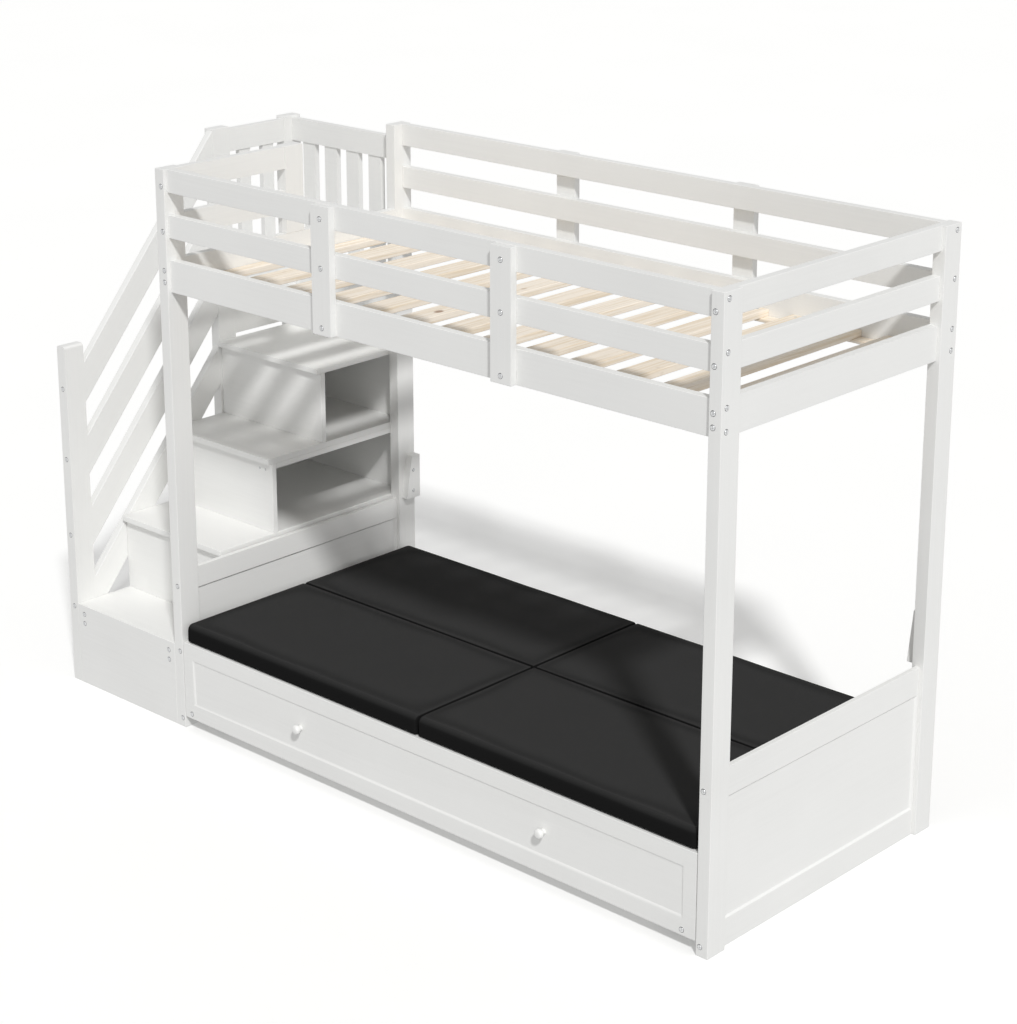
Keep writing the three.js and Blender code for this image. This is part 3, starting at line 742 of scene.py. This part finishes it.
def foam_block(half_size, cell, seen_edge, joint_edge, bottom_edge):
    """A closed foam block about its own middle. It faces the front left: its low X and
    low Y sides are seen and softly rounded, the other two meet a neighbour."""
    build = bmesh.new()
    spots = [cut_shares(half, seen_edge, SEEN_CUTS, joint_edge, JOINT_CUTS, cell)
             for half in half_size[:2]]
    spots.append(cut_shares(half_size[2], bottom_edge, JOINT_CUTS, seen_edge, SEEN_CUTS, cell))
    corners = {}

    def corner(shares):
        if shares not in corners:
            corners[shares] = build.verts.new(
                rounded_spot(shares, half_size, seen_edge, joint_edge, bottom_edge))
        return corners[shares]

    for axis in range(3):
        first, second = [i for i in range(3) if i != axis]
        for side in (-1.0, 1.0):
            for a0, a1 in zip(spots[first], spots[first][1:]):
                for b0, b1 in zip(spots[second], spots[second][1:]):
                    face = []
                    for a, b in ((a0, b0), (a1, b0), (a1, b1), (a0, b1)):
                        shares = [0.0, 0.0, 0.0]
                        shares[axis], shares[first], shares[second] = side, a, b
                        face.append(corner(tuple(shares)))
                    build.faces.new(face)
    return build


def rounded_spot(shares, half_size, seen_edge, joint_edge, bottom_edge):
    """A point of the block's surface, drawn in to the rounding of the sides it lies near."""
    seen_reach = min(half_size[i] * (1 + shares[i]) for i in (0, 1))
    rim = joint_edge + (seen_edge - joint_edge) * max(0.0, 1 - seen_reach / (2 * seen_edge))
    radii = [seen_edge if share < 0 else joint_edge for share in shares[:2]]
    radii.append(rim if shares[2] > 0 else bottom_edge)
    depths = [max(0.0, 1 - half * (1 - abs(share)) / radius)
              for share, half, radius in zip(shares, half_size, radii)]
    length = max(1.0, math.hypot(*depths))
    return Vector([
        math.copysign(half - radius * (1 - depth / length), share) if depth > 0 else share * half
        for share, half, radius, depth in zip(shares, half_size, radii, depths)])


def swell(piece):
    """Lets the cover fill out under pressure, with no point moving further than the cap.
    The points of the group called held stay where they are."""
    rest = [v.co.copy() for v in piece.data.vertices]
    cloth = piece.modifiers.new("swell", "CLOTH")
    for name, value in SWELL_SETTINGS.items():
        setattr(cloth.settings, name, value)
    cloth.settings.effector_weights.gravity = 0
    cloth.settings.vertex_group_mass = piece.vertex_groups["held"].name
    cloth.point_cache.frame_start = 1
    cloth.point_cache.frame_end = SWELL_FRAMES
    for number in range(1, SWELL_FRAMES + 1):
        bpy.context.scene.frame_set(number)
    evaluated = piece.evaluated_get(bpy.context.evaluated_depsgraph_get())
    moved = [v.co.copy() for v in evaluated.data.vertices]
    piece.modifiers.remove(cloth)
    for vertex, start, end in zip(piece.data.vertices, rest, moved):
        step = end - start
        if step.length > CUSHION_CAP:
            step *= CUSHION_CAP / step.length
        vertex.co = start + step
    bpy.context.scene.frame_set(1)


def filled_pattern(half_size, edge):
    """The mesh of one cushion about its own middle, filled out under pressure."""
    cell = CUSHION_CELL
    block = foam_block(
        [h - CUSHION_SHRINK for h in half_size], cell, edge, JOINT_EDGE, BOTTOM_EDGE)
    piece = bpy.data.objects.new("cushion_pattern", finish_mesh(block, "cushion_pattern"))
    bpy.context.scene.collection.objects.link(piece)
    just_under_top = half_size[2] - CUSHION_SHRINK - 0.01 * MM
    held = piece.vertex_groups.new(name="held")
    held.add([v.index for v in piece.data.vertices if v.co.z < just_under_top], 1.0, "ADD")
    swell(piece)
    mesh = piece.data
    bpy.data.objects.remove(piece)
    return mesh


def apply_modifiers(piece):
    """Keeps what the modifiers make as the piece's own mesh."""
    evaluated = piece.evaluated_get(bpy.context.evaluated_depsgraph_get())
    mesh = bpy.data.meshes.new_from_object(evaluated)
    piece.modifiers.clear()
    old = piece.data
    piece.data = mesh
    bpy.data.meshes.remove(old)


def eased(value, limit):
    """The value, slowed down over the last few mm so that it never passes the limit."""
    over = (value - limit) / SOFT_REACH + 1
    return value if over < 0 else limit - SOFT_REACH * math.exp(-over)


def settle(piece, low, high):
    """Rests the cushion on the deck, holds it off its neighbours and makes its face uneven."""
    middle = (low + high) / 2
    room = [(high[i] - low[i]) / 2 - CUSHION_SIDE_GAP for i in range(2)]
    # Each cushion reads its waves from another part of the noise
    seed = Vector((middle.x * 3.1, middle.y * 5.3, 1.7))
    for vertex in piece.data.vertices:
        co = vertex.co
        lift = max(0.0, (co.z - middle.z) / (high.z - middle.z))
        co.z += (noise.noise(co / WAVE_LENGTH + seed) - WAVE_BIAS) * WAVE_HEIGHT * lift
        for i in (0, 1):
            co[i] = middle[i] + min(max(co[i] - middle[i], -room[i]), room[i])
        co.z = max(low.z, eased(co.z, high.z - CUSHION_SIDE_GAP))


class LOFTBED_OT_fill_cushions(bpy.types.Operator):
    """Fills the four cushions of the lower bunk"""

    bl_idname = "loftbed.fill_cushions"
    bl_label = "Fill the cushions"

    def execute(self, context):
        cloth = woven_black_cloth("woven_black_cloth", context.scene.loft_bed_paint.cloth)
        edge = context.scene.loft_bed_sizes.cushion_edge
        boxes = [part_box(node) for node in CUSHION_NODES]
        half_size = [max(high[i] - low[i] for low, high in boxes) / 2 for i in range(3)]
        pattern = filled_pattern(half_size, edge)
        for node in sorted(CUSHION_NODES):
            low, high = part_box(node)
            if "front" in node:
                low = low - Vector((0, CUSHION_FRONT_OVERHANG, 0))
            name = node.replace("cushion", "filled_cushion")
            piece = bpy.data.objects.new(name, pattern.copy())
            context.scene.collection.objects.link(piece)
            turns = (1 if "left" in node else -1, 1 if "front" in node else -1, 1)
            for vertex in piece.data.vertices:
                for i, sign in enumerate(turns):
                    share = sign * vertex.co[i] / half_size[i]
                    vertex.co[i] = (low[i] + high[i]) / 2 + share * (high[i] - low[i]) / 2
            if turns[0] != turns[1]:
                piece.data.flip_normals()
            settle(piece, low, high)
            subdivide = piece.modifiers.new("smooth", "SUBSURF")
            subdivide.levels = subdivide.render_levels = 1
            apply_modifiers(piece)
            for face in piece.data.polygons:
                face.use_smooth = True
            piece.data.materials.append(cloth)
            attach(piece, node)
            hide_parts(node)
        bpy.data.meshes.remove(pattern)
        return {"FINISHED"}


# The photograph's view: found from the posts, rails, deck and stairs
IMAGE_PIXELS = (1017, 1024)
SENSOR_MM = 36
CAMERA_PLACE = (4.6377, -4.8126, 3.1511)
CAMERA_PITCH = math.radians(16.737)
CAMERA_AZIMUTH = math.radians(42.996)
FOCAL_PIXELS = 2446.4
SHIFT_PIXELS = -130
CLIP_RANGE = (0.1, 200)

# The sun's direction comes from the shadows on the cushions, stairs and left panel
SUN_TRAVEL = (-0.82, 0.6, -1.0)
SUN_STRENGTH = 2.05
SUN_ANGLE = math.radians(4.5)

# The studio's pale walls give more light than its ceiling: levels are sines of the elevation
WALL_STRENGTH = 0.63
CEILING_STRENGTH = 0.42
WALL_TOP = 0.3
CEILING_START = 0.6

FLOOR_HALF = 60.0
FLOOR_CELLS = 24


def lay_floor(scene):
    """A wide floor. Diffuse light passes it, so undersides meet the room's pale light."""
    build = bmesh.new()
    bmesh.ops.create_grid(
        build, x_segments=FLOOR_CELLS, y_segments=FLOOR_CELLS, size=FLOOR_HALF)
    mesh = finish_mesh(build, "studio_floor", smooth=False)
    mesh.materials.append(studio_floor("studio_paper", scene.loft_bed_paint.floor))
    floor = bpy.data.objects.new("studio_floor", mesh)
    scene.collection.objects.link(floor)
    floor.visible_diffuse = False


def hang_sun(scene):
    """One soft sun for the photograph's shadows."""
    lamp = bpy.data.lights.new("studio_sun", "SUN")
    lamp.energy = SUN_STRENGTH
    lamp.angle = SUN_ANGLE
    sun = bpy.data.objects.new("studio_sun", lamp)
    sun.rotation_euler = Vector(SUN_TRAVEL).to_track_quat("-Z", "Y").to_euler()
    scene.collection.objects.link(sun)


def light_room(scene):
    """Even light from all round, brighter from the walls than from above."""
    world = bpy.data.worlds.new("studio_light")
    world.use_nodes = True
    tree = world.node_tree
    sky = tree.nodes["Background"]
    sky.inputs["Color"].default_value = opaque(linear(STUDIO_WHITE))
    direction = add_node(tree, "ShaderNodeTexCoord").outputs["Generated"]
    height = add_node(tree, "ShaderNodeSeparateXYZ", inputs={"Vector": direction}).outputs["Z"]
    level = worked_out(tree, "ABSOLUTE", height)
    strength = ranged(tree, level, (WALL_TOP, CEILING_START),
                      (WALL_STRENGTH, CEILING_STRENGTH), "SMOOTHSTEP")
    tree.links.new(strength, sky.inputs["Strength"])
    scene.world = world
    scene.view_settings.view_transform = "Standard"


def place_camera(scene):
    """The camera that sees the bed as the photograph does."""
    data = bpy.data.cameras.new("photo_view")
    data.sensor_width = SENSOR_MM
    data.lens = SENSOR_MM * FOCAL_PIXELS / max(IMAGE_PIXELS)
    data.shift_y = SHIFT_PIXELS / max(IMAGE_PIXELS)
    data.clip_start, data.clip_end = CLIP_RANGE
    camera = bpy.data.objects.new("photo_view", data)
    camera.location = CAMERA_PLACE
    camera.rotation_euler = Euler((math.radians(90) - CAMERA_PITCH, 0, CAMERA_AZIMUTH))
    scene.collection.objects.link(camera)
    bpy.context.scene.camera = camera


class LOFTBED_OT_set_stage(bpy.types.Operator):
    """Sets the floor, the studio light and the camera"""

    bl_idname = "loftbed.set_stage"
    bl_label = "Set the stage"

    def execute(self, context):
        for part_of_stage in (lay_floor, hang_sun, light_room, place_camera):
            part_of_stage(context.scene)
        return {"FINISHED"}


class LOFTBED_PT_make(bpy.types.Panel):
    """Lists the steps that make the loft bed"""

    bl_idname = "LOFTBED_PT_make"
    bl_label = "Loft bed"
    bl_space_type = "VIEW_3D"
    bl_region_type = "UI"
    bl_category = "Loft Bed"

    def draw(self, context):
        layout = self.layout
        for group in (context.scene.loft_bed_paint, context.scene.loft_bed_sizes):
            box = layout.box()
            for name in group.bl_rna.properties.keys():
                if name not in ("rna_type", "name"):
                    box.prop(group, name)
        for operator in OPERATORS:
            layout.operator(operator.bl_idname)


OPERATORS = (
    LOFTBED_OT_set_stage,
    LOFTBED_OT_paint_boards,
    LOFTBED_OT_lay_slats,
    LOFTBED_OT_turn_knobs,
    LOFTBED_OT_fit_castors,
    LOFTBED_OT_drive_bolts,
    LOFTBED_OT_fill_cushions,
)
CLASSES = (LoftBedPaint, LoftBedSizes, *OPERATORS, LOFTBED_PT_make)


def register():
    for item in CLASSES:
        bpy.utils.register_class(item)
    bpy.types.Scene.loft_bed_paint = bpy.props.PointerProperty(type=LoftBedPaint)
    bpy.types.Scene.loft_bed_sizes = bpy.props.PointerProperty(type=LoftBedSizes)


def unregister():
    del bpy.types.Scene.loft_bed_sizes
    del bpy.types.Scene.loft_bed_paint
    for item in reversed(CLASSES):
        bpy.utils.unregister_class(item)


def main():
    register()
    bpy.ops.loftbed.set_stage()
    bpy.ops.loftbed.paint_boards()
    bpy.ops.loftbed.lay_slats()
    bpy.ops.loftbed.turn_knobs()
    bpy.ops.loftbed.fit_castors()
    bpy.ops.loftbed.drive_bolts()
    bpy.ops.loftbed.fill_cushions()


if __name__ == "__main__":
    main()
